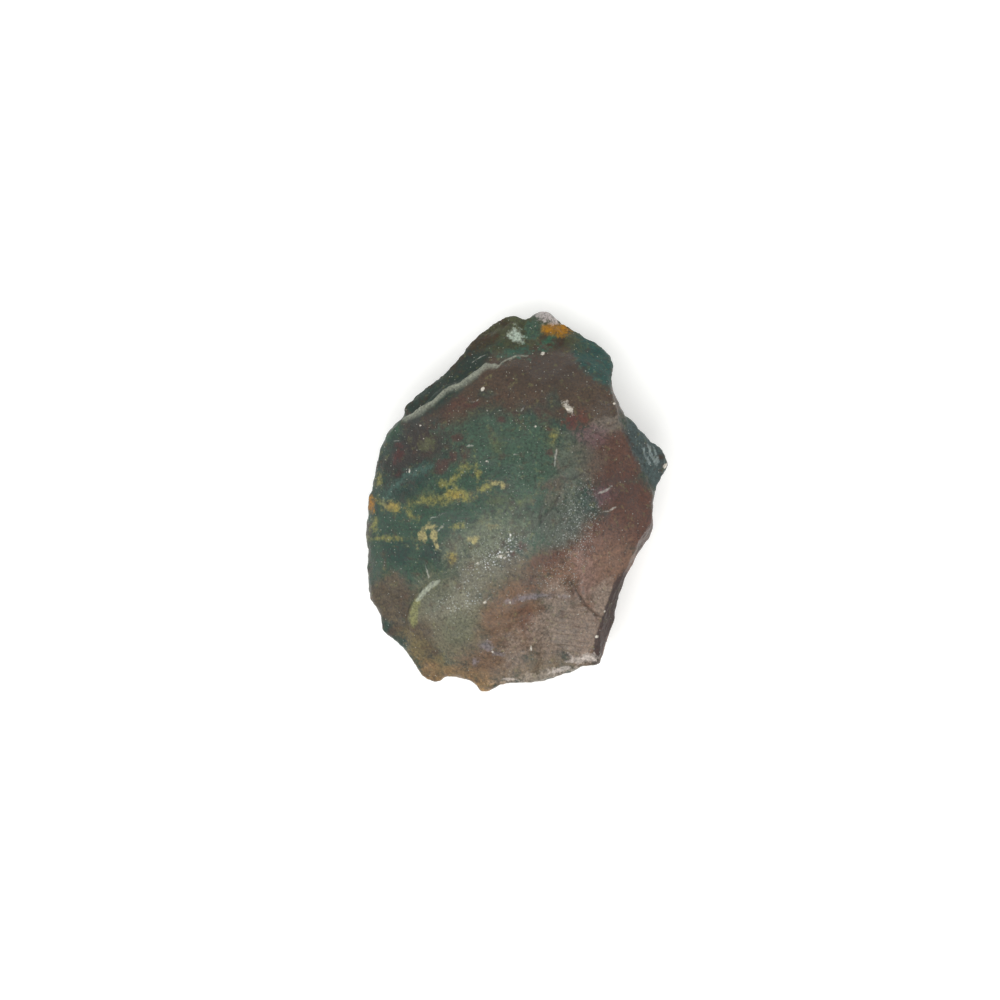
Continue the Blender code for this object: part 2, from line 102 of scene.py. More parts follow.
# A patch is a list of (x, y, half length, half width, turn in degrees).
PATCHES = {
    "brown_top": [
        (0.5, 16.6, 11.88, 4.22, 4), (8.8, 14.4, 6.6, 5.02, -30), (-7.7, 12.7, 7.26, 3.17, 30),
        (11.0, 12.7, 3.3, 1.85, 40),
    ],
    "green_in_brown": [
        (4.6, 13.1, 0.92, 1.45, 0), (-4.6, 13.6, 1.06, 0.66, 20),
    ],
    "maroon": [
        (-13.8, 5.7, 4.49, 2.9, 60), (-9.0, 7.5, 3.96, 1.58, 10), (-17.0, 4.9, 1.58, 0.92, 80),
    ],
    "teal": [
        (-1.1, 7.3, 7.66, 3.56, -10), (2.6, 2.6, 4.62, 3.96, -40), (3.0, -5.4, 3.56, 2.24, 50),
        (-2.4, -2.5, 4.49, 2.38, 10),
    ],
    "deep_green": [
        (-16.2, 9.4, 1.98, 0.92, 58), (-14.1, -5.0, 6.6, 5.28, 60), (-8.0, 0.5, 7.92, 4.62, 10),
        (-11.6, -9.5, 3.56, 3.04, 0),
    ],
    "blue_teal": [
        (-14.2, 2.1, 3.3, 1.58, 38), (-15.6, -6.5, 1.98, 1.58, 0), (-10.9, -7.3, 1.72, 1.06, 20),
    ],
    "tan_bottom": [
        (2.8, -21.8, 4.49, 1.72, 5), (7.1, -21.0, 2.64, 1.32, 10),
    ],
    "brown_low_left": [
        (-16.4, -12.7, 3.7, 3.17, 100), (-13.5, -17.3, 2.64, 1.85, 130), (-15.5, -16.8, 1.85, 1.58, 0),
        (-12.2, -20.3, 2.38, 1.45, 130),
    ],
    "olive_low": [
        (-8.4, -15.6, 5.54, 6.6, -20), (-4.6, -9.6, 4.62, 3.04, 30),
    ],
    "green_low": [
        (-7.2, -16.9, 1.98, 2.38, -20), (-10.9, -12.7, 1.19, 1.98, -30),
    ],
    "pink_brown": [
        (-0.3, -15.4, 4.49, 5.02, 0), (-2.6, -21.0, 4.22, 2.38, 0), (4.4, -8.1, 3.7, 1.72, 0),
        (3.1, -18.6, 1.85, 2.9, 10), (4.2, -11.1, 2.11, 1.45, 0),
    ],
    "red_brown": [
        (14.6, -1.2, 3.56, 5.54, 0), (13.0, 5.5, 3.96, 3.96, 0), (8.5, -5.1, 5.02, 2.64, 30),
    ],
    "tan_right": [
        (11.6, -8.6, 4.36, 3.96, 20), (10.0, -16.2, 3.43, 5.28, 10), (8.4, -8.6, 3.04, 2.64, 0),
        (11.0, -12.0, 1.85, 1.85, 0), (6.5, -11.7, 2.38, 1.32, -30),
    ],
    "purple": [
        (11.3, 0.5, 1.45, 0.92, 10), (9.8, 7.9, 1.72, 1.06, 0),
    ],
    "ember_right": [
        (7.6, 9.8, 1.19, 0.92, -30),
    ],
    "green_right": [
        (6.4, 3.4, 2.38, 4.36, -10), (5.6, -2.6, 3.17, 2.64, 20),
    ],
    "red_soft": [
        (3.5, -7.4, 1.85, 0.79, 15), (7.6, 10.2, 1.06, 1.32, -40), (-8.0, 11.9, 1.72, 1.19, 30),
        (1.0, -15.3, 1.06, 2.24, 20), (17.0, -2.4, 0.79, 0.92, 0), (4.3, 2.4, 1.32, 0.66, 0),
    ],
    "grey_lilac": [
        (7.6, -16.8, 3.3, 3.83, 10), (11.3, -14.0, 1.19, 2.11, 12), (6.3, -13.1, 2.38, 0.79, 10),
        (11.2, -12.0, 1.58, 1.72, 0), (5.7, -11.7, 1.58, 1.06, -20),
    ],
    "ash_right": [
        (9.3, 5.1, 2.24, 2.11, 0), (4.3, 0.3, 1.32, 1.19, 0),
    ],
    "green_edge": [
        (-17.2, -4.1, 1.58, 3.17, 10),
    ],
    # sparkle holds painted glints, drawn as pale specks.
    "sparkle": [
        (7.9, -2.8, 2.9, 6.07, -8), (-2.2, -6.2, 3.96, 1.72, 32), (5.5, -9.6, 2.9, 1.98, 0),
    ],
    "warm_right": [
        (11.4, -4.4, 3.43, 1.85, 0),
    ],
    "umber_top": [
        (4.4, 17.6, 5.54, 2.64, 5),
    ],
    "dark_left": [
        (-13.0, 10.7, 5.54, 1.72, 38),
    ],
    # sheen and sheen_low are painted sheen: lighter colour where the broad sheen lies on the middle and
    # lower left.
    "sheen": [
        (-3.9, -4.6, 4.49, 2.38, 22), (-7.2, -6.9, 2.11, 1.32, 30),
    ],
    "sheen_low": [
        (-7.6, -13.7, 1.85, 2.24, 10),
    ],
    "rose_right": [
        (8.9, -8.1, 1.45, 4.36, 5),
    ],
    "umber_right": [
        (13.3, 1.5, 2.64, 2.64, 0),
    ],
    "pale_low": [
        (3.9, -17.8, 2.24, 2.38, 0), (-0.3, -19.0, 1.32, 1.58, 0),
    ],
    # lilac's long streak across the middle is painted sheen where a low ridge catches the light; its small
    # spots lower down take the same tint.
    "lilac": [
        (2.2, -12.5, 3.17, 0.36, 4), (-3.8, -19.0, 0.79, 0.53, 0), (-2.2, -19.7, 0.66, 0.34, 0),
        (-5.0, -21.1, 0.32, 0.53, 10),
    ],
    "teal_bump": [
        (3.8, 21.0, 1.19, 0.79, 20),
    ],
    # painted_sheen_haze is painted sheen: a thin pale grey along the broad sheen band across the middle and
    # lower left.
    "painted_sheen_haze": [
        (-2.2, -7.8, 3.56, 1.45, 35), (-7.5, -12.0, 4.22, 1.98, 40), (6.5, -3.0, 3.43, 1.19, 40),
    ],
}

# Faces that the stone broke or weathered into, whose borders stay with its shape, in the same form
FORMS = {
    "pale_facet": [
        (11.4, 9.6, 2.77, 1.06, 20),
    ],
    "terrace": [
        (-8.6, 17.4, 8.58, 3.04, 44),
    ],
    "crust": [
        (-1.7, 22.2, 4.75, 2.64, 12), (0.6, 20.3, 3.56, 1.06, 10), (5.0, 22.0, 3.56, 2.24, -20),
    ],
    "chamfer": [
        (9.7, 19.1, 4.75, 1.98, -52), (11.6, 16.5, 1.85, 1.19, -70),
    ],
    "shoulder": [
        (17.4, 5.8, 5.54, 1.85, -58),
    ],
    # strip: the steep side face at the lower right; its dark brown-grey is partly its own and partly
    # painted shade where it turns from the light.
    "strip": [
        (12.2, -15.2, 6.86, 1.08, 72),
    ],
    "tan_rim": [
        (-7.5, -23.9, 4.75, 1.85, 0), (-4.0, -24.9, 1.85, 1.45, 0), (-11.4, -22.6, 2.11, 1.06, 125),
    ],
    "olive_rim": [
        (-12.7, -20.2, 3.7, 1.19, 123), (-10.6, -22.0, 1.85, 1.19, 120),
    ],
    "pale_rim": [
        (3.1, -23.2, 5.54, 0.79, 8),
    ],
    "crust_brown": [
        (-4.7, 21.0, 1.72, 1.06, 35), (5.3, 20.7, 1.32, 0.92, -20), (-2.6, 23.6, 0.92, 0.53, 0),
    ],
    "crust_teal": [
        (2.2, 22.6, 1.19, 1.19, 40), (-0.6, 19.5, 2.64, 0.66, 6),
    ],
    "terrace_brown": [
        (-4.0, 22.0, 3.17, 1.06, 48), (-7.7, 18.6, 1.58, 0.53, 44),
    ],
    "crust_green": [
        (2.0, 19.7, 2.38, 0.66, 10), (-2.2, 20.5, 1.19, 0.53, 20),
    ],
    "ripple_right": [
        (8.1, -1.3, 2.64, 4.36, 0),
    ],
    "ripple_scar": [
        (7.5, -17.2, 3.04, 3.83, 0),
    ],
    "ripple_low": [
        (-1.0, -15.0, 8.98, 5.94, 0),
    ],
    "crush": [
        (7.6, -20.6, 3.43, 1.06, 4),
    ],
}

# Small marks, whose edges are kept crisper: (x, y, half length, half width, turn).
MARKS = {
    "amber_vein": [
        (-16.4, -0.8, 0.92, 0.53, 0), (-8.1, 0.5, 0.79, 0.4, 0), (-8.4, -7.5, 0.53, 0.53, 0),
    ],
    "olive": [
        (-2.8, 0.1, 1.32, 0.79, 0), (-2.7, 6.9, 0.92, 1.19, 0), (-11.8, 7.3, 0.92, 0.92, 0),
        (-2.6, -1.6, 2.9, 0.32, 22), (-4.2, 1.5, 1.32, 0.53, 20), (4.6, 8.3, 1.19, 1.45, 0),
        (-9.7, 0.3, 4.22, 0.99, 8), (-17.5, -0.4, 1.19, 0.53, -10),
    ],
    "yellow": [
        (-9.3, 0.3, 3.3, 0.48, 7), (-8.0, 0.7, 1.06, 0.66, 5), (-6.5, 0.4, 0.59, 0.45, 0),
        (-16.0, -0.8, 0.79, 0.61, 0), (-17.5, -0.3, 0.79, 0.29, -20), (-6.7, 4.4, 0.45, 0.53, 0),
        (-5.2, 3.8, 0.26, 0.79, 15), (-8.1, 3.0, 1.32, 0.26, 38), (-9.8, 2.2, 0.46, 0.37, 0),
        (4.6, 8.4, 0.48, 0.53, 0), (-18.8, -3.2, 0.21, 0.53, -20), (-17.8, -4.9, 1.19, 0.16, -2),
        (-18.0, 2.6, 0.26, 0.53, 0), (-13.5, -1.8, 0.32, 0.59, 40), (-7.8, -3.3, 0.42, 0.24, 10),
        (-8.3, -7.4, 0.53, 0.66, 0), (-4.2, 1.7, 0.92, 0.32, 25),
    ],
    "tan": [
        (-2.7, 2.4, 1.06, 0.3, -12), (-1.9, 2.0, 0.53, 0.34, -40), (-12.3, -4.6, 0.48, 0.74, 5),
        (-10.7, -4.6, 0.24, 0.79, 5), (-11.0, -3.4, 0.79, 0.18, 0), (-13.0, -5.9, 0.15, 0.4, 0),
        (-5.6, -5.1, 0.66, 0.4, 0), (-3.1, -3.4, 0.53, 0.29, 0),
    ],
    "orange": [
        (-19.1, -0.5, 0.48, 0.79, 0), (6.0, 22.8, 1.06, 0.74, -5), (4.6, 22.7, 1.06, 0.58, 10),
    ],
    "red": [
        (-8.3, 5.6, 0.46, 0.53, 0), (-9.7, 4.4, 1.06, 0.73, 40), (-15.5, 5.9, 0.92, 0.66, 60),
        (-2.0, 10.5, 0.53, 0.42, 0), (-7.6, 8.2, 0.53, 0.4, 0), (4.2, 6.4, 0.37, 0.42, 0),
        (-1.4, 1.8, 0.24, 0.24, 0), (0.5, -6.0, 0.48, 0.37, 0), (7.1, 10.2, 0.53, 0.92, -30),
        (-15.4, 7.4, 0.66, 0.4, 0), (-15.6, 3.4, 0.4, 0.4, 0), (-5.6, 12.5, 0.79, 0.4, 0),
        (4.2, 9.2, 0.4, 0.53, 0), (-3.0, -3.3, 0.29, 0.21, 0), (-0.6, -7.1, 0.32, 0.32, 0),
    ],
    "bruise": [
        (6.6, 12.1, 1.11, 0.44, -56),
    ],
    "white": [
        (-4.4, 14.5, 0.32, 0.24, 60), (3.3, 19.4, 0.26, 0.2, 10), (12.6, 12.7, 0.15, 0.15, 0),
        (-3.8, 11.8, 0.15, 0.12, 0), (2.4, 9.7, 0.17, 0.13, 0), (-12.6, 9.8, 0.16, 0.13, 0),
        (-14.1, 4.0, 0.13, 0.22, 0), (-3.8, 5.0, 0.21, 0.18, 0), (-1.0, -13.1, 0.16, 0.13, 0),
        (1.8, -19.3, 0.16, 0.4, 15), (10.5, -17.8, 0.21, 0.2, 0), (7.9, -14.8, 0.15, 0.11, 0),
        (11.4, -14.4, 0.12, 0.16, 0), (-3.2, -19.7, 0.15, 0.13, 0), (-0.9, -4.4, 0.12, 0.24, 0),
        (-4.1, -13.2, 0.26, 0.16, 20), (19.6, 4.6, 0.45, 0.4, 0), (-2.3, -7.1, 0.34, 0.13, 10),
        (-1.3, -6.7, 0.29, 0.13, 20), (-2.9, -6.9, 0.18, 0.12, 0), (-1.6, -7.4, 0.16, 0.12, 0),
        (-5.1, -8.1, 0.13, 0.11, 0), (-5.9, -8.7, 0.12, 0.11, 0), (-12.2, 8.1, 0.12, 0.11, 0),
    ],
    "crystal": [
        (-0.1, 21.8, 0.71, 0.92, 0),
    ],
    "tip": [
        (4.3, 24.4, 1.58, 0.69, -14),
    ],
    "brown_spot": [
        (5.5, 21.1, 0.79, 0.53, 0), (3.8, 21.6, 0.66, 0.4, 30), (18.8, 5.8, 0.53, 0.4, 0),
    ],
    # glints and soft_glints hold painted glints of the sheen, drawn as pale specks.
    "glints": [
        (-1.9, -6.9, 1.25, 0.53, 12), (-0.9, -4.8, 0.26, 0.4, 0), (-3.6, -7.9, 0.53, 0.26, 35),
    ],
    "soft_glints": [
        (-4.7, -9.1, 1.58, 0.53, 35), (-6.1, -12.0, 0.66, 1.19, 0), (-7.2, -8.7, 0.66, 0.4, 0),
        (-8.5, -13.6, 0.79, 0.66, 0),
    ],
    "amber_rim": [
        (-9.6, -24.2, 1.19, 0.66, 0), (-4.3, -25.5, 0.92, 0.79, 0), (-6.1, -23.9, 1.58, 0.26, 0),
    ],
    "crushed_pale": [
        (9.2, -20.6, 1.72, 0.45, 6), (5.9, -22.2, 1.32, 0.34, 10),
    ],
}

# Streaks: the points that each runs through, and half its width at its middle.
STREAKS = {
    "fold_light": [
        ([(-17.5, -0.4), (-16.4, 1.5), (-14.5, 3.2), (-11.4, 4.5)], 0.34),
    ],
    "scar_edge": [
        ([(2.3, -21.8), (2.8, -19.7), (3.5, -17.8), (4.6, -15.8), (6.1, -13.9)], 0.21),
        ([(9.4, 8.6), (11.0, 9.2), (12.7, 9.9), (13.9, 11.0)], 0.15),
        ([(5.1, 7.5), (5.0, 5.4), (5.7, 3.3), (7.1, 2.0)], 0.17),
    ],
    "scratch": [
        ([(-10.3, -3.9), (-9.5, -3.1)], 0.12), ([(10.4, 0.9), (11.4, 1.3), (12.6, 1.9)], 0.11),
        ([(10.8, -1.5), (11.9, -1.3), (13.0, -0.8)], 0.09), ([(-4.2, -13.2), (-3.0, -12.3)], 0.09),
        ([(5.1, 6.7), (4.9, 5.7), (4.8, 4.4)], 0.11),
        ([(-11.6, -10.2), (-11.7, -9.2), (-11.9, -8.3)], 0.08),
        ([(-6.7, 6.9), (-6.1, 7.3), (-5.6, 7.1)], 0.11), ([(-0.3, 5.9), (0.3, 5.9)], 0.07),
        ([(-11.2, -2.5), (-9.2, -1.4)], 0.07), ([(-5.9, 18.2), (-3.7, 19.5)], 0.07),
        ([(-6.4, 13.2), (-5.9, 12.9), (-4.8, 13.2)], 0.07), ([(0.5, 11.6), (1.1, 12.4)], 0.07),
        ([(-17.9, 7.8), (-17.0, 7.9)], 0.07), ([(-16.2, 7.9), (-15.4, 7.8)], 0.07),
        ([(-1.1, 0.5), (-0.3, -0.4)], 0.07), ([(7.2, -13.1), (6.7, -12.0)], 0.07),
    ],
    "pale_edge": [
        ([(-1.9, -23.4), (-0.6, -23.4), (0.7, -23.6)], 0.17),
        ([(8.4, -20.6), (9.7, -20.5), (10.6, -21.0)], 0.24),
        ([(6.5, -19.8), (7.2, -20.5), (7.3, -21.0)], 0.16), ([(6.1, -21.0), (7.3, -21.1)], 0.18),
        ([(4.8, -22.3), (6.0, -22.0), (7.1, -21.8)], 0.29),
    ],
    # crescent and crescent_top: the chip scar at the lower left, partly its own yellowish green and partly
    # painted highlight where its edge catches the light.
    "crescent": [
        ([(-12.8, -12.8), (-13.4, -14.4), (-13.6, -15.7), (-13.6, -16.5)], 0.59),
    ],
    "crescent_top": [
        ([(-10.0, -10.3), (-11.0, -10.9), (-12.1, -12.0), (-13.0, -13.1)], 0.33),
    ],
    "slate_light": [
        ([(16.4, 7.0), (17.0, 5.7), (17.6, 4.5)], 0.16), ([(17.0, 7.3), (17.8, 5.8), (18.3, 4.6)], 0.2),
        ([(17.9, 7.1), (18.4, 5.9), (18.5, 4.9)], 0.16),
    ],
}

# Dark cracks and creases, sunk into the relief; their dark colour is partly the cracks' own and partly
# painted shade, as under the ridge at the lower right
CREASES = [
    [(5.5, 0.5), (4.7, -0.7), (4.0, -1.6), (3.1, -2.8)], [(5.5, 3.0), (7.1, 2.8), (8.6, 3.4)],
    [(6.7, -10.3), (7.7, -11.7), (8.8, -13.5), (10.1, -14.8), (11.4, -15.4)],
    [(4.7, -19.7), (5.7, -19.8), (7.1, -20.5)], [(5.7, -20.3), (6.5, -21.0)],
]

# The pale lip along the ledge at the upper left, and its thin end: partly their own thin edge, partly
# painted highlight
LEDGE = [
    (-14.6, 11.1), (-13.3, 11.6), (-11.4, 12.9), (-9.5, 14.6), (-7.4, 15.4), (-5.6, 16.8),
    (-4.0, 18.1), (-3.0, 17.9),
]
THIN_LEDGE = [(-2.6, 17.3), (-2.0, 18.0), (-1.1, 18.5), (0.0, 18.9), (1.5, 19.1)]


def linear(tint):
    """An sRGB hex colour as the linear colour that a shader takes."""
    channels = [int(tint[i : i + 2], 16) / 255 for i in (1, 3, 5)]
    return tuple(c / 12.92 if c <= 0.04045 else ((c + 0.055) / 1.055) ** 2.4 for c in channels) + (1,)


def node(tree, kind, links=(), **settings):
    """Adds a node: settings name its properties, or its inputs by place or name; links feed inputs."""
    made = tree.nodes.new(kind)
    inputs = settings.pop("inputs", {})
    for name, value in settings.items():
        setattr(made, name, value)
    for key, value in inputs.items():
        made.inputs[key].default_value = value
    for key, socket in dict(links).items():
        tree.links.new(socket, made.inputs[key])
    return made


# The skin's points, and what is measured at each of them

def skin_points(mesh):
    """The mesh's points in millimetres, one to a row."""
    points = np.empty(len(mesh.vertices) * 3, np.float32)
    mesh.vertices.foreach_get("co", points)
    return points.reshape(-1, 3).astype(float) / MM


def wandering(points, amount, spacing, number):
    """A smooth wandering shift in X, Y and Z for each point, another one for each number."""
    shift = WANDER_STEP * number
    found = [noise.noise_vector(Vector(p) / spacing + shift) for p in points]
    return amount * np.array(found)


def inside_ellipses(points, ellipses):
    """How deep points lie inside the nearest ellipse in plan."""
    best = np.full(len(points), -np.inf)
    for x, y, length, width, turn in ellipses:
        c, s = math.cos(math.radians(turn)), math.sin(math.radians(turn))
        along = ((points[:, 0] - x) * c + (points[:, 1] - y) * s) / length
        across = (-(points[:, 0] - x) * s + (points[:, 1] - y) * c) / width
        best = np.maximum(best, (1 - np.hypot(along, across)) * min(length, width))
    return best


def beside_line(points, line):
    """How far points lie to the left of a bent line in plan, and how far along it."""
    nearest = np.full(len(points), np.inf)
    left = np.zeros(len(points))
    share_along = np.zeros(len(points))
    for number, (start, end) in enumerate(zip(line, line[1:])):
        start, run = np.array(start), np.array(end) - np.array(start)
        length = math.hypot(*run)
        offset = points[:, :2] - start
        share = np.clip(offset @ run / length**2, 0, 1)
        gap = np.linalg.norm(offset - share[:, None] * run, axis=1)
        side = run[0] * offset[:, 1] - run[1] * offset[:, 0]
        closer = gap < nearest
        nearest = np.where(closer, gap, nearest)
        left = np.where(closer, np.copysign(gap, side), left)
        share_along = np.where(closer, (number + share) / (len(line) - 1), share_along)
    return left, share_along


def inside_streaks(points, streaks):
    """How deep points lie inside the nearest streak in plan. Streaks thin out at both ends."""
    best = np.full(len(points), -np.inf)
    for line, half_width in streaks:
        left, share = beside_line(points, line)
        thinned = half_width * (1 - STREAK_THINNING * (2 * share - 1) ** STREAK_POWER)
        best = np.maximum(best, thinned - np.abs(left))
    return best


def keep_attribute(mesh, name, values):
    layer = mesh.attributes.new(name, "FLOAT", "POINT")
    layer.data.foreach_set("value", np.asarray(values, np.float32))


def made_plain(piece):
    """Puts the piece's evaluated mesh in place of its own, and drops its modifiers."""
    graph = bpy.context.evaluated_depsgraph_get()
    mesh = bpy.data.meshes.new_from_object(piece.evaluated_get(graph))
    piece.modifiers.clear()
    piece.data = mesh
    return piece


def fine_skin():
    """The solid's surface as one even, fine mesh, with its facets eased away."""
    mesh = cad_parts[NODE].data.copy()
    shape = bmesh.new()
    shape.from_mesh(mesh)
    bmesh.ops.remove_doubles(shape, verts=shape.verts, dist=MERGE_DISTANCE * MM)
    shape.to_mesh(mesh)
    shape.free()
    mesh.materials.clear()
    skin = bpy.data.objects.new("bloodstone_skin", mesh)
    bpy.context.scene.collection.objects.link(skin)
    remesh = skin.modifiers.new("even grid", "REMESH")
    remesh.mode = "VOXEL"
    remesh.voxel_size = SKIN_GRID * MM
    ease = skin.modifiers.new("ease facets", "SMOOTH")
    ease.factor = SKIN_EASE
    ease.iterations = SKIN_EASE_PASSES
    return made_plain(skin)


def measure_marks(mesh, points, on_top):
    """Keeps how deep each point lies inside the marks, the streaks, the ledge's lip and the creases."""
    for name, ellipses in MARKS.items():
        keep_attribute(mesh, name, np.where(on_top, inside_ellipses(points, ellipses), -OFF_TOP))
    for name, streaks in STREAKS.items():
        keep_attribute(mesh, name, np.where(on_top, inside_streaks(points, streaks), -OFF_TOP))
    below_ledge = -beside_line(points, LEDGE)[0]
    lip = np.clip(below_ledge / LIP_SHARP + 0.5, 0, 1) * np.clip(1 - below_ledge / LIP_WIDTH, 0, 1)
    beside_thin = np.abs(beside_line(points, THIN_LEDGE)[0])
    thin = np.clip(THIN_LIP_REACH - beside_thin / THIN_LIP_WIDTH, 0, 1)
    keep_attribute(mesh, "lip", np.where(on_top, np.maximum(lip, THIN_LIP_SHARE * thin), 0.0))
    crease = np.min([np.abs(beside_line(points, line)[0]) for line in CREASES], axis=0)
    keep_attribute(mesh, "crease", np.where(on_top, crease, OFF_TOP))


def measure_patches(skin):
    """Keeps, at each point of the skin, how deep it lies inside each patch, form, mark and line."""
    mesh = skin.data
    points = skin_points(mesh)
    normals = np.empty(len(mesh.vertices) * 3, np.float32)
    mesh.vertex_normals.foreach_get("vector", normals)
    facing_up = normals.reshape(-1, 3)[:, 2]
    noise.seed_set(WANDER_SEED)
    wide = wandering(points, WANDER_WIDE, WANDER_WIDE_SPACING, 1)
    close = wandering(points, WANDER_CLOSE, WANDER_CLOSE_SPACING, 2)
    strayed = points + wide + close
    nudged = points + MARK_WANDER * close
    steepness = np.clip((FLANK_FACING - facing_up) / FLANK_FACING, 0, 1)[:, None]
    on_flanks = nudged + steepness * (strayed - nudged)
    depths = {name: inside_ellipses(strayed, ellipses) for name, ellipses in PATCHES.items()}
    depths |= {name: inside_ellipses(on_flanks, ellipses) for name, ellipses in FORMS.items()}
    for name in RIPPLE_FORMS:
        depths[name] = np.minimum(depths[name], (facing_up - FLANK_FACING) * RIPPLE_FADE)
    depths["dull"] = np.max([depths[name] for name in DULL_FORMS], axis=0)
    depths["flank"] = (FACETS_FACING - facing_up) * FACETS_RISE
    for name, depth in depths.items():
        keep_attribute(mesh, name, depth)
    measure_marks(mesh, nudged, facing_up > LEAST_FACING)


# Relief: each layer has the patch that lets it through, its spacing, its height and its detail.
RELIEF_LAYERS = [
    ("swell", None, 3.4, 0.10, 2.0),
    ("grain", None, 0.85, 0.050, 3.0),
    ("flank facets", "flank", 2.3, 0.34, 4.0),
    ("crust lumps", "crust", 1.5, 0.42, 2.0),
    ("shoulder chips", "shoulder", 1.1, 0.22, 3.0),
    ("crushed edge", "crush", 0.7, 0.20, 3.0),
    ("wrinkles", "ripple_right", 0.50, 0.25, 1.0),
]
RELIEF_SEED = 11.0
RELIEF_ROUGHNESS = 0.55
# The levels of the noise that stand for a layer's whole height below and above the surface
RELIEF_LEVELS = (0.2, 0.8)
# How deep inside its patch a layer begins to show, and where it is at its full
MASK_DEPTHS = (-0.4, 0.9)
# How high the ledge's lip stands, and how low and how wide the creases lie
LIP_HEIGHT = 0.14
CREASE_HEIGHT = -0.10
CREASE_HALF_WIDTH = 0.4

# Ripples run in rings round the point that the blow fell on: the patch they show in, that point,
# how far apart they are and how high.
RIPPLES = [
    ("ripple_right", (22.0, 8.0, 12.0), 0.62, 0.055),
    ("ripple_scar", (8.0, 4.0, 14.0), 0.75, 0.11),
    ("ripple_low", (3.0, -34.0, 10.0), 1.7, 0.030),
]
# How the rings waver
RIPPLE_WAVER = {"Distortion": 4.0, "Detail": 2.0, "Detail Scale": 0.6}
# How far apart the wave texture draws its rings at a scale of 1
WAVE_SPACING = math.pi / 10


def layer_heights(tree, in_mm, seed):
    """Each relief layer's height, with the patch that lets it through."""
    heights = []
    for label, patch, spacing, height, detail in RELIEF_LAYERS:
        grain = node(
            tree,
            "ShaderNodeTexNoise",
            {"Vector": in_mm, "W": seed},
            label=label,
            noise_dimensions="4D",
            inputs={"Scale": 1 / spacing, "Detail": detail, "Roughness": RELIEF_ROUGHNESS},
        )
        raised = node(
            tree,
            "ShaderNodeMapRange",
            {0: grain.outputs[0]},
            clamp=False,
            inputs={1: RELIEF_LEVELS[0], 2: RELIEF_LEVELS[1], 3: -height, 4: height},
        )
        heights.append((patch, raised.outputs[0]))
    return heights


def ripple_heights(tree, in_mm):
    """The height of the rings round each blow, with the patch that lets them through."""
    heights = []
    for patch, blow, spacing, height in RIPPLES:
        from_blow = node(
            tree, "ShaderNodeVectorMath", {0: in_mm}, operation="SUBTRACT", inputs={1: blow}
        )
        rings = node(
            tree,
            "ShaderNodeTexWave",
            {"Vector": from_blow.outputs[0]},
            wave_type="RINGS",
            rings_direction="SPHERICAL",
            inputs={"Scale": WAVE_SPACING / spacing} | RIPPLE_WAVER,
        )
        raised = node(
            tree, "ShaderNodeMapRange", {0: rings.outputs["Fac"]}, inputs={3: -height, 4: height}
        )
        heights.append((patch, raised.outputs[0]))
    return heights


def let_through(tree, height, patch):
    """A height inside its patch, and none outside it."""
    depth = node(tree, "GeometryNodeInputNamedAttribute", inputs={"Name": patch})
    share = node(
        tree,
        "ShaderNodeMapRange",
        {0: depth.outputs[0]},
        interpolation_type="SMOOTHSTEP",
        inputs={1: MASK_DEPTHS[0], 2: MASK_DEPTHS[1]},
    )
    inside = node(tree, "ShaderNodeMath", {0: height, 1: share.outputs[0]}, operation="MULTIPLY")
    return inside.outputs[0]


def relief_tree():
    """Nodes that raise and sink the skin along its normals. Strength turns millimetres to metres."""
    tree = bpy.data.node_groups.new("broken stone relief", "GeometryNodeTree")
    face = tree.interface
    face.new_socket("Geometry", in_out="INPUT", socket_type="NodeSocketGeometry")
    for name in ("Strength", "Seed", "Lip height", "Crease height", "Crease half width"):
        face.new_socket(name, in_out="INPUT", socket_type="NodeSocketFloat")
    face.new_socket("Stone", in_out="INPUT", socket_type="NodeSocketMaterial")
    face.new_socket("Geometry", in_out="OUTPUT", socket_type="NodeSocketGeometry")
    given = node(tree, "NodeGroupInput").outputs
    place = node(tree, "GeometryNodeInputPosition")
    in_mm = node(
        tree, "ShaderNodeVectorMath", {0: place.outputs[0]}, operation="SCALE", inputs={"Scale": 1 / MM}
    ).outputs[0]
    lip = node(tree, "GeometryNodeInputNamedAttribute", inputs={"Name": "lip"})
    raised = node(tree, "ShaderNodeMath", {0: lip.outputs[0], 1: given["Lip height"]}, operation="MULTIPLY")
    crease = node(tree, "GeometryNodeInputNamedAttribute", inputs={"Name": "crease"})
    sunk = node(
        tree,
        "ShaderNodeMapRange",
        {0: crease.outputs[0], 2: given["Crease half width"], 3: given["Crease height"]},
        interpolation_type="SMOOTHSTEP",
        inputs={4: 0.0},
    )
    total = sunk.outputs[0]
    heights = layer_heights(tree, in_mm, given["Seed"]) + ripple_heights(tree, in_mm)
    for patch, height in heights + [(None, raised.outputs[0])]:
        if patch:
            height = let_through(tree, height, patch)
        total = node(tree, "ShaderNodeMath", {0: total, 1: height}, operation="ADD").outputs[0]
    in_metres = node(tree, "ShaderNodeMath", {0: total, 1: given["Strength"]}, operation="MULTIPLY")
    normal = node(tree, "GeometryNodeInputNormal")
    shift = node(
        tree,
        "ShaderNodeVectorMath",
        {0: normal.outputs[0], "Scale": in_metres.outputs[0]},
        operation="SCALE",
    )
    moved = node(
        tree, "GeometryNodeSetPosition", {"Geometry": given["Geometry"], "Offset": shift.outputs[0]}
    )
    real = node(tree, "GeometryNodeRealizeInstances", {0: moved.outputs[0]})
    clad = node(
        tree, "GeometryNodeSetMaterial", {"Geometry": real.outputs[0], "Material": given["Stone"]}
    )
    node(tree, "NodeGroupOutput", {0: clad.outputs[0]})
    return tree


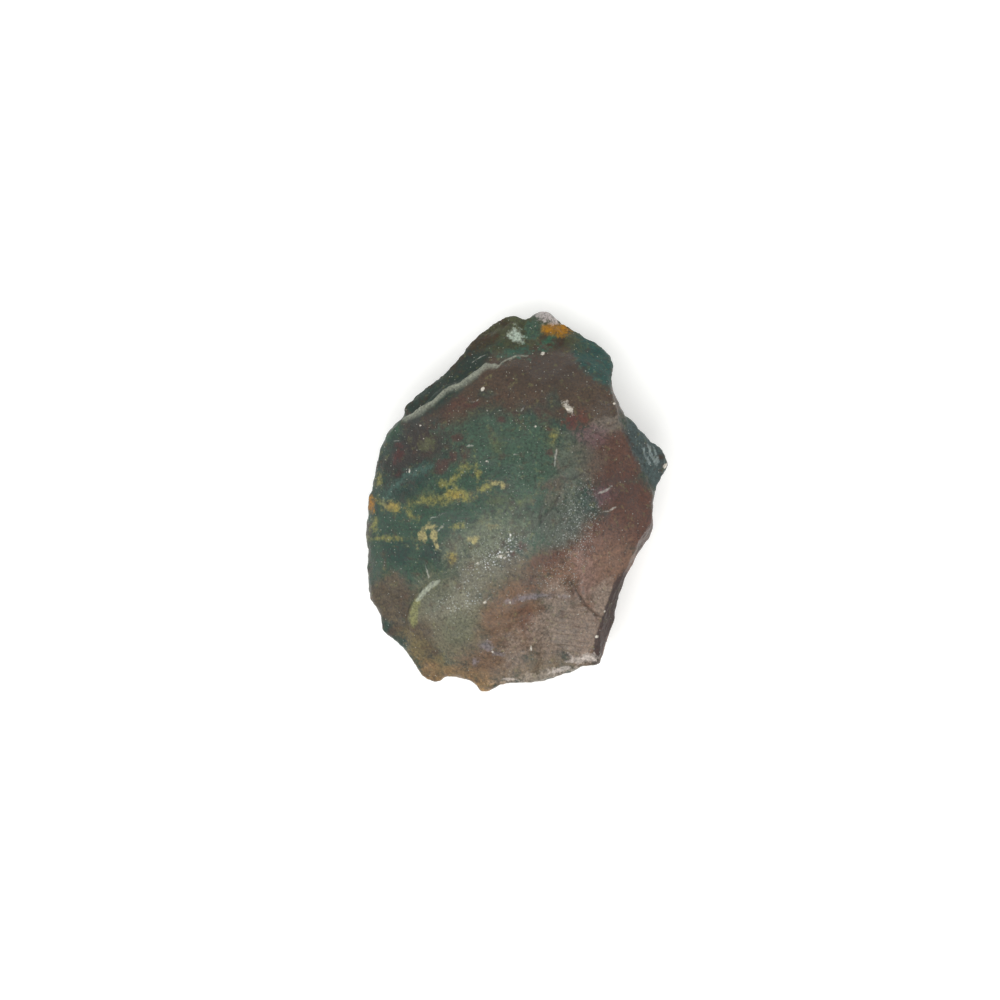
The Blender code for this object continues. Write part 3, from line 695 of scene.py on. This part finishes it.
def raise_relief(skin, stone):
    """Gives the skin its relief and its stone."""
    tree = relief_tree()
    relief = skin.modifiers.new("relief", "NODES")
    relief.node_group = tree
    given = {
        "Strength": MM,
        "Seed": RELIEF_SEED,
        "Lip height": LIP_HEIGHT,
        "Crease height": CREASE_HEIGHT,
        "Crease half width": CREASE_HALF_WIDTH,
        "Stone": stone,
    }
    for socket in tree.interface.items_tree:
        if socket.in_out == "INPUT" and socket.name in given:
            relief[socket.identifier] = given[socket.name]
    return made_plain(skin)


def keep_in_box(skin):
    """Holds the skin's points inside the solid's own box, and flat where the stone rests."""
    points = skin_points(skin.data)
    low, high = (np.array(corner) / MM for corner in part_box(NODE))
    points = np.clip(points, low, high)
    skin.data.vertices.foreach_set("co", (points * MM).astype(np.float32).ravel())
    skin.data.update()


# The stone's noise: how far apart its lumps are, its detail, its roughness and its place
STONE_NOISE = {
    "clouds": (7.0, 3.0, 0.60, 2.0),
    "mottle": (1.9, 4.0, 0.60, 5.0),
    "fine": (0.55, 3.0, 0.65, 0.0),
    "grit": (0.30, 4.0, 0.60, 21.0),
    "red": (2.6, 3.0, 0.60, 9.0),
    "yellow": (2.1, 4.0, 0.65, 14.0),
    "dark_flecks": (0.9, 3.0, 0.60, 31.0),
    "pale_flecks": (0.7, 3.0, 0.60, 37.0),
    "red_flecks": (1.3, 3.0, 0.60, 43.0),
}
GROUND_GREEN = "#1f3a2c"
GROUND_DEEP = "#142823"

# Colours by noise alone: the noise, the levels it comes in between, how strongly, the colour.
GROUND_LAYERS = [
    ("clouds", 0.50, 0.60, 0.90, "#3a291e"),
    ("red", 0.60, 0.68, 0.70, "#33150f"),
    ("yellow", 0.63, 0.70, 0.55, "#55501f"),
]
FLECK_LAYERS = [
    ("dark_flecks", 0.55, 0.72, 0.24, "#19160f"),
    ("pale_flecks", 0.55, 0.72, 0.32, "#66673f"),
    ("red_flecks", 0.55, 0.70, 0.42, "#3c2012"),
]

# Colours by patch, from the ground up: its name, its colour, how softly it ends in millimetres,
# how strongly it covers, and how far the grain frays its border. The flecks lie over them.
PATCH_COLOURS = [
    ("brown_top", "#3b2b1c", 2.6, 0.95, 3.0),
    ("umber_top", "#22170d", 3.0, 0.55, 3.0),
    ("green_in_brown", "#1c2d23", 0.9, 0.70, 1.2),
    ("maroon", "#1a0f0a", 2.2, 0.85, 3.0),
    ("dark_left", "#0e1d1a", 2.5, 0.75, 3.0),
    ("deep_green", "#1c3a29", 3.0, 0.95, 3.0),
    ("teal", "#2c4434", 2.8, 0.95, 3.0),
    ("blue_teal", "#04281f", 1.2, 0.95, 1.8),
    ("olive_low", "#605b48", 4.0, 0.90, 3.0),
    ("green_edge", "#0a3022", 1.8, 0.60, 2.4),
    # Painted sheen
    ("sheen", "#5b624f", 3.2, 0.75, 2.6),
    ("sheen_low", "#77735f", 2.4, 0.55, 2.4),
    ("pink_brown", "#624935", 3.2, 0.90, 2.2),
    ("tan_bottom", "#675947", 2.2, 0.85, 2.0),
    ("brown_low_left", "#463a2a", 2.0, 0.90, 2.2),
    ("green_low", "#4c523e", 1.6, 0.50, 2.0),
    ("red_brown", "#48291c", 3.2, 0.90, 2.2),
    ("tan_right", "#6a4e3e", 3.0, 0.92, 1.5),
    ("rose_right", "#755d54", 1.8, 0.60, 2.0),
    ("umber_right", "#34190f", 2.2, 0.50, 2.4),
    ("green_right", "#464c40", 2.4, 0.80, 3.0),
    ("ash_right", "#4d453a", 1.6, 0.55, 2.2),
    ("warm_right", "#563c31", 2.0, 0.55, 2.2),
    ("red_soft", "#441e16", 1.2, 0.40, 1.8),
    ("grey_lilac", "#75675b", 1.4, 0.85, 1.4),
    ("pale_facet", "#686258", 1.0, 0.55, 1.4),
    ("purple", "#53393e", 1.5, 0.65, 1.8),
    ("ember_right", "#5a2a1c", 1.5, 0.55, 1.8),
    # Painted sheen, laid thinly over the colours below it.
    ("painted_sheen_haze", "#56605e", 2.4, 0.20, 1.8),
    ("scar_edge", "#4f4840", 0.35, 0.55, 0.5),
    ("pale_low", "#77695d", 2.0, 0.70, 2.4),
    # lilac: painted sheen along a low ridge, in lilac grey
    ("lilac", "#6c6a72", 0.6, 0.55, 0.9),
    ("chamfer", "#1c3d38", 1.0, 0.95, 1.2),
    ("terrace", "#1b2b24", 0.9, 0.95, 0.9),
    ("terrace_brown", "#2b2010", 1.6, 0.75, 3.0),
    ("crust", "#3b3d27", 1.4, 0.90, 2.0),
    ("crust_green", "#1e3528", 0.9, 0.75, 2.4),
    ("crust_brown", "#281a0f", 1.4, 0.75, 2.4),
    ("crust_teal", "#28473c", 1.2, 0.70, 2.4),
    ("teal_bump", "#22533f", 0.8, 0.75, 1.4),
    ("shoulder", "#394544", 0.6, 0.95, 0.8),
    # The side face: its own brown-grey, partly painted shade
    ("strip", "#2f2423", 0.3, 0.88, 0.35),
    ("olive_rim", "#5c5234", 1.6, 0.80, 2.2),
    ("tan_rim", "#735a3c", 1.5, 0.75, 1.8),
    ("pale_rim", "#867c70", 0.8, 0.60, 1.8),
    ("amber_rim", "#92703f", 0.9, 0.70, 1.2),
]

# Colours by mark, over the flecks, in the same form
MARK_COLOURS = [
    ("olive", "#4c5030", 1.3, 0.50, 2.0),
    ("yellow", "#757139", 0.80, 0.72, 1.15),
    ("amber_vein", "#8f783a", 0.9, 0.50, 1.2),
    ("fold_light", "#4a675e", 1.6, 0.40, 1.6),
    ("tan", "#93895c", 0.50, 0.80, 0.85),
    ("red", "#3a1512", 0.60, 0.70, 1.10),
    ("brown_spot", "#2c1c0e", 0.6, 0.80, 0.6),
    ("orange", "#8a5e10", 0.95, 0.90, 1.1),
    ("tip", "#a39b98", 0.70, 0.85, 1.2),
    ("crystal", "#9ba79a", 0.90, 0.85, 1.4),
    ("slate_light", "#7c8684", 0.20, 0.60, 0.25),
    # The chip scar's crescent: partly its own colour, partly painted highlight
    ("crescent", "#74754a", 0.50, 0.80, 0.45),
    ("crescent_top", "#8f9484", 0.22, 0.75, 0.15),
    ("crushed_pale", "#a49c94", 0.50, 0.60, 0.9),
    ("pale_edge", "#b4aaa2", 0.16, 0.60, 0.30),
    ("scratch", "#9a9a92", 0.12, 0.50, 0.20),
    ("bruise", "#bdb7ab", 0.30, 0.85, 0.75),
    ("white", "#c4beb2", 0.12, 0.85, 0.15),
]

# How many millimetres a 1 in the last column moves a border by, where the grain is 1
FRAY_REACH = 1.5

# The ledge's lip, paler partly by painted highlight, and the creases, darker partly by painted shade: the
# colour, the levels it comes in between, how strongly
LIP_TINT_AND_HIGHLIGHT = ("#7a7d70", 0.05, 0.85, 0.90)
# CREASE_SHADE darkens the creases: partly painted shade.
CREASE_SHADE = ("#14120f", 0.26, 0.04, 0.50)

# Pale specks: the first two over the whole stone, partly pale grains and partly painted glints; the rest
# are painted glints in the sheen, the ripples, the sparkle and the glints. How far apart, how big a share
# of that, which share of them shows, where they show, their colour, how strongly they cover
SPECK_LAYERS = [
    (1.00, 0.11, 0.16, None, "#b4b6aa", 0.55),
    (0.42, 0.24, 0.28, None, "#a2a498", 0.50),
    (0.40, 0.34, 0.60, "painted_sheen_haze", "#b0b4ae", 0.45),
    (0.38, 0.36, 0.34, "ripple_right", "#b9c2bb", 0.38),
    (0.21, 0.46, 0.40, "sparkle", "#b4bab4", 0.42),
    (0.34, 0.42, 0.60, "soft_glints", "#ccd2d0", 0.70),
    (0.34, 0.48, 0.90, "glints", "#eef2f3", 0.95),
]
# The levels of a speck's own random value that show it, how far a share of 1 lowers them, and how
# softly the specks end at their patch's border
SPECK_LEVELS = (0.70, 0.95)
SPECK_LOWERED = 0.5
SPECK_BORDER = 0.8

# Light and dark through the stone: how much the mottle and the grit weigh beside the fine noise,
# the levels that this comes between, and the brightness at each end
MOTTLE_SHARE = 0.6
GRIT_SHARE = 3.0
TONE_LEVELS = (1.70, 2.90)
TONE_RANGE = (0.42, 1.60)
SATURATION = 1.05

# The surface: its roughness between two levels of the grit, how much rougher a weathered face is,
# and over how many millimetres on each side of its border that comes in
CHALCEDONY_IOR = 1.54
SHINE = 0.45
GRIT_LEVELS = (0.3, 0.7)
WAXY_ROUGHNESS = (0.30, 0.60)
WEATHERED_ROUGHER = 0.40
WEATHERED_BORDER = 0.5
GRIT_STRENGTH = 1.0
GRIT_DEPTH = 0.11

# Light within the stone: how much, how far each colour goes beside the others, and how deep
LIGHT_WITHIN = 0.12
LIGHT_WITHIN_COLOURS = (1.0, 0.85, 0.7)
LIGHT_WITHIN_DEPTH = 0.8


def lay_colour(tree, below, colour, measure, low, high, strength):
    """Lays one colour over another, more of it as a measure goes from low to high."""
    share = node(
        tree,
        "ShaderNodeMapRange",
        {0: measure},
        interpolation_type="SMOOTHSTEP",
        inputs={1: low, 2: high, 4: strength},
    )
    laid = node(
        tree, "ShaderNodeMix", {0: share.outputs[0], 6: below}, data_type="RGBA", inputs={7: linear(colour)}
    )
    return laid.outputs[2]


def lay_patches(tree, colour, layers, grain):
    """Lays each layer's colour inside its patch or mark, with the border frayed by the grain."""
    for name, tint, softness, strength, fray in layers:
        depth = node(tree, "ShaderNodeAttribute", attribute_name=name)
        frayed = node(
            tree,
            "ShaderNodeMath",
            {0: grain, 2: depth.outputs["Fac"]},
            operation="MULTIPLY_ADD",
            inputs={1: FRAY_REACH * fray},
        )
        colour = lay_colour(tree, colour, tint, frayed.outputs[0], -softness / 2, softness / 2, strength)
    return colour


def stone_noise(tree, in_mm):
    """The level of each of the stone's noises, by its name."""
    level = {}
    for name, (spacing, detail, roughness, place) in STONE_NOISE.items():
        made = node(
            tree,
            "ShaderNodeTexNoise",
            {"Vector": in_mm},
            label=name,
            noise_dimensions="4D",
            inputs={"W": place, "Scale": 1 / spacing, "Detail": detail, "Roughness": roughness},
        )
        level[name] = made.outputs[0]
    return level


def clouded_colour(tree, level):
    """The ground, then the patches, the flecks and the marks, with painted sheen, glints and shade among
    them, and light and dark through them all.
    """
    ground = node(
        tree,
        "ShaderNodeMix",
        {0: level["mottle"]},
        data_type="RGBA",
        inputs={6: linear(GROUND_GREEN), 7: linear(GROUND_DEEP)},
    )
    colour = ground.outputs[2]
    for name, low, high, strength, tint in GROUND_LAYERS:
        colour = lay_colour(tree, colour, tint, level[name], low, high, strength)
    both = node(tree, "ShaderNodeMath", {0: level["mottle"], 1: level["fine"]}, operation="ADD")
    grain = node(tree, "ShaderNodeMath", {0: both.outputs[0]}, operation="SUBTRACT", inputs={1: 1.0})
    colour = lay_patches(tree, colour, PATCH_COLOURS, grain.outputs[0])
    for name, low, high, strength, tint in FLECK_LAYERS:
        colour = lay_colour(tree, colour, tint, level[name], low, high, strength)
    colour = lay_patches(tree, colour, MARK_COLOURS, grain.outputs[0])
    # The lip is painted paler, partly as highlight; the creases darker, partly as painted shade.
    for name, (tint, low, high, strength) in (("lip", LIP_TINT_AND_HIGHLIGHT), ("crease", CREASE_SHADE)):
        line = node(tree, "ShaderNodeAttribute", attribute_name=name)
        colour = lay_colour(tree, colour, tint, line.outputs["Fac"], low, high, strength)
    broad = node(
        tree,
        "ShaderNodeMath",
        {0: level["mottle"], 2: level["fine"]},
        operation="MULTIPLY_ADD",
        inputs={1: MOTTLE_SHARE},
    )
    gritty = node(
        tree,
        "ShaderNodeMath",
        {0: level["grit"], 2: broad.outputs[0]},
        operation="MULTIPLY_ADD",
        inputs={1: GRIT_SHARE},
    )
    tone = node(
        tree,
        "ShaderNodeMapRange",
        {0: gritty.outputs[0]},
        inputs={1: TONE_LEVELS[0], 2: TONE_LEVELS[1], 3: TONE_RANGE[0], 4: TONE_RANGE[1]},
    )
    toned = node(
        tree,
        "ShaderNodeHueSaturation",
        {"Color": colour, "Value": tone.outputs[0]},
        inputs={"Saturation": SATURATION},
    )
    return toned.outputs[0]


def lay_specks(tree, colour, in_mm):
    """Lays the pale specks, partly pale grains and partly painted glints: small round dots, of which only
    some show.
    """
    for spacing, size, shown, patch, tint, strength in SPECK_LAYERS:
        cell = node(tree, "ShaderNodeTexVoronoi", {"Vector": in_mm}, inputs={"Scale": 1 / spacing})
        near = node(
            tree, "ShaderNodeMapRange", {0: cell.outputs["Distance"]}, inputs={1: size, 2: size / 2}
        )
        low, high = (showing - SPECK_LOWERED * shown for showing in SPECK_LEVELS)
        lit = node(tree, "ShaderNodeMapRange", {0: cell.outputs["Color"]}, inputs={1: low, 2: high})
        share = node(
            tree, "ShaderNodeMath", {0: near.outputs[0], 1: lit.outputs[0]}, operation="MULTIPLY"
        )
        if patch:
            depth = node(tree, "ShaderNodeAttribute", attribute_name=patch)
            within = node(
                tree,
                "ShaderNodeMapRange",
                {0: depth.outputs["Fac"]},
                inputs={1: -SPECK_BORDER, 2: SPECK_BORDER},
            )
            share = node(
                tree, "ShaderNodeMath", {0: share.outputs[0], 1: within.outputs[0]}, operation="MULTIPLY"
            )
        colour = lay_colour(tree, colour, tint, share.outputs[0], 0.0, 1.0, strength)
    return colour


def waxy_roughness(tree, grit):
    """The roughness of the waxy break, which the grit varies and the weather has raised in places."""
    broken = node(
        tree,
        "ShaderNodeMapRange",
        {0: grit},
        inputs={1: GRIT_LEVELS[0], 2: GRIT_LEVELS[1], 3: WAXY_ROUGHNESS[0], 4: WAXY_ROUGHNESS[1]},
    )
    dull = node(tree, "ShaderNodeAttribute", attribute_name="dull")
    weathered = node(
        tree,
        "ShaderNodeMapRange",
        {0: dull.outputs["Fac"]},
        inputs={1: -WEATHERED_BORDER, 2: WEATHERED_BORDER, 4: WEATHERED_ROUGHER},
    )
    rough = node(
        tree, "ShaderNodeMath", {0: broken.outputs[0], 1: weathered.outputs[0]}, operation="ADD"
    )
    return rough.outputs[0]


def waxy_chalcedony():
    """Chalcedony broken raw: a waxy, close-grained surface with a soft sheen, clouded in colour, with some
    of its sheen, glints and shade painted into the colour.
    """
    material = bpy.data.materials.new("waxy_chalcedony_broken")
    material.use_nodes = True
    tree = material.node_tree
    shader = tree.nodes["Principled BSDF"]
    place = node(tree, "ShaderNodeTexCoord")
    in_mm = node(
        tree, "ShaderNodeMapping", {"Vector": place.outputs["Object"]}, inputs={"Scale": (1 / MM,) * 3}
    ).outputs[0]
    level = stone_noise(tree, in_mm)
    colour = lay_specks(tree, clouded_colour(tree, level), in_mm)
    bump = node(
        tree,
        "ShaderNodeBump",
        {"Height": level["grit"]},
        inputs={"Strength": GRIT_STRENGTH, "Distance": GRIT_DEPTH * MM},
    )
    tree.links.new(colour, shader.inputs["Base Color"])
    tree.links.new(waxy_roughness(tree, level["grit"]), shader.inputs["Roughness"])
    tree.links.new(bump.outputs[0], shader.inputs["Normal"])
    shader.inputs["Specular IOR Level"].default_value = SHINE
    shader.inputs["IOR"].default_value = CHALCEDONY_IOR
    shader.inputs["Metallic"].default_value = 0.0
    shader.inputs["Subsurface Weight"].default_value = LIGHT_WITHIN
    shader.inputs["Subsurface Radius"].default_value = LIGHT_WITHIN_COLOURS
    shader.inputs["Subsurface Scale"].default_value = LIGHT_WITHIN_DEPTH * MM
    return material


# The floor and the lamps are in metres.
FLOOR_SIDE = 1.6
FLOOR_COLOUR = "#fafaf8"
FLOOR_ROUGHNESS = 0.9
FLOOR_SHINE = 0.1
FLOOR_GLOW = 0.16


def plain_floor():
    """A white sheet lit from beneath, as for a photo without shadows."""
    bpy.ops.mesh.primitive_plane_add(size=FLOOR_SIDE)
    floor = bpy.context.active_object
    floor.name = "floor"
    material = bpy.data.materials.new("white_acrylic_light_table")
    material.use_nodes = True
    shader = material.node_tree.nodes["Principled BSDF"]
    shader.inputs["Base Color"].default_value = linear(FLOOR_COLOUR)
    shader.inputs["Roughness"].default_value = FLOOR_ROUGHNESS
    shader.inputs["Specular IOR Level"].default_value = FLOOR_SHINE
    shader.inputs["Emission Color"].default_value = linear(FLOOR_COLOUR)
    shader.inputs["Emission Strength"].default_value = FLOOR_GLOW
    floor.data.materials.append(material)


# Soft boxes: where each stands, its side and its power in watts, and the point that they all face
SOFT_BOXES = [
    ("key_box", (-0.10, -0.22, 0.66), 0.42, 2.6),
    ("left_box", (-0.62, 0.05, 0.24), 0.40, 0.7),
    ("right_box", (0.62, 0.10, 0.24), 0.40, 0.9),
    ("back_box", (0.0, 0.65, 0.24), 0.40, 0.9),
]
LAMP_AIM = Vector((0, 0, 0.01))
SKY_STRENGTH = 0.68


def soft_light():
    """Soft boxes round the stone and a pale room over it."""
    for name, place, side, power in SOFT_BOXES:
        lamp = bpy.data.lights.new(name, "AREA")
        lamp.size = side
        lamp.energy = power
        box = bpy.data.objects.new(name, lamp)
        box.location = place
        box.rotation_euler = (LAMP_AIM - Vector(place)).to_track_quat("-Z", "Y").to_euler()
        bpy.context.scene.collection.objects.link(box)
    world = bpy.data.worlds.new("pale_room")
    world.use_nodes = True
    sky = world.node_tree.nodes["Background"]
    sky.inputs["Color"].default_value = (1, 1, 1, 1)
    sky.inputs["Strength"].default_value = SKY_STRENGTH
    bpy.context.scene.world = world


# The camera looks straight down. A pixel of its picture is this wide where the rim lies.
PIXEL_MM = 0.132
PICTURE_PIXELS = 1000
RIM_LEVEL = 11.0
LENS = 85.0
FILM = 36.0
VIEW_CENTRE = (-2.2, 0.1)


def camera_above():
    """The camera, with the photograph's plain colours."""
    lens = bpy.data.cameras.new("camera")
    lens.lens = LENS
    lens.sensor_width = FILM
    camera = bpy.data.objects.new("camera", lens)
    distance = LENS * PICTURE_PIXELS * PIXEL_MM / FILM
    camera.location = (VIEW_CENTRE[0] * MM, VIEW_CENTRE[1] * MM, (distance + RIM_LEVEL) * MM)
    bpy.context.scene.collection.objects.link(camera)
    bpy.context.scene.camera = camera
    bpy.context.scene.view_settings.view_transform = "Standard"


def main():
    """The stone on its sheet, under the camera."""
    camera_above()
    soft_light()
    plain_floor()
    skin = fine_skin()
    measure_patches(skin)
    skin = raise_relief(skin, waxy_chalcedony())
    keep_in_box(skin)
    skin.data.shade_smooth()
    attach(skin, "root")
    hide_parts(NODE)


main()
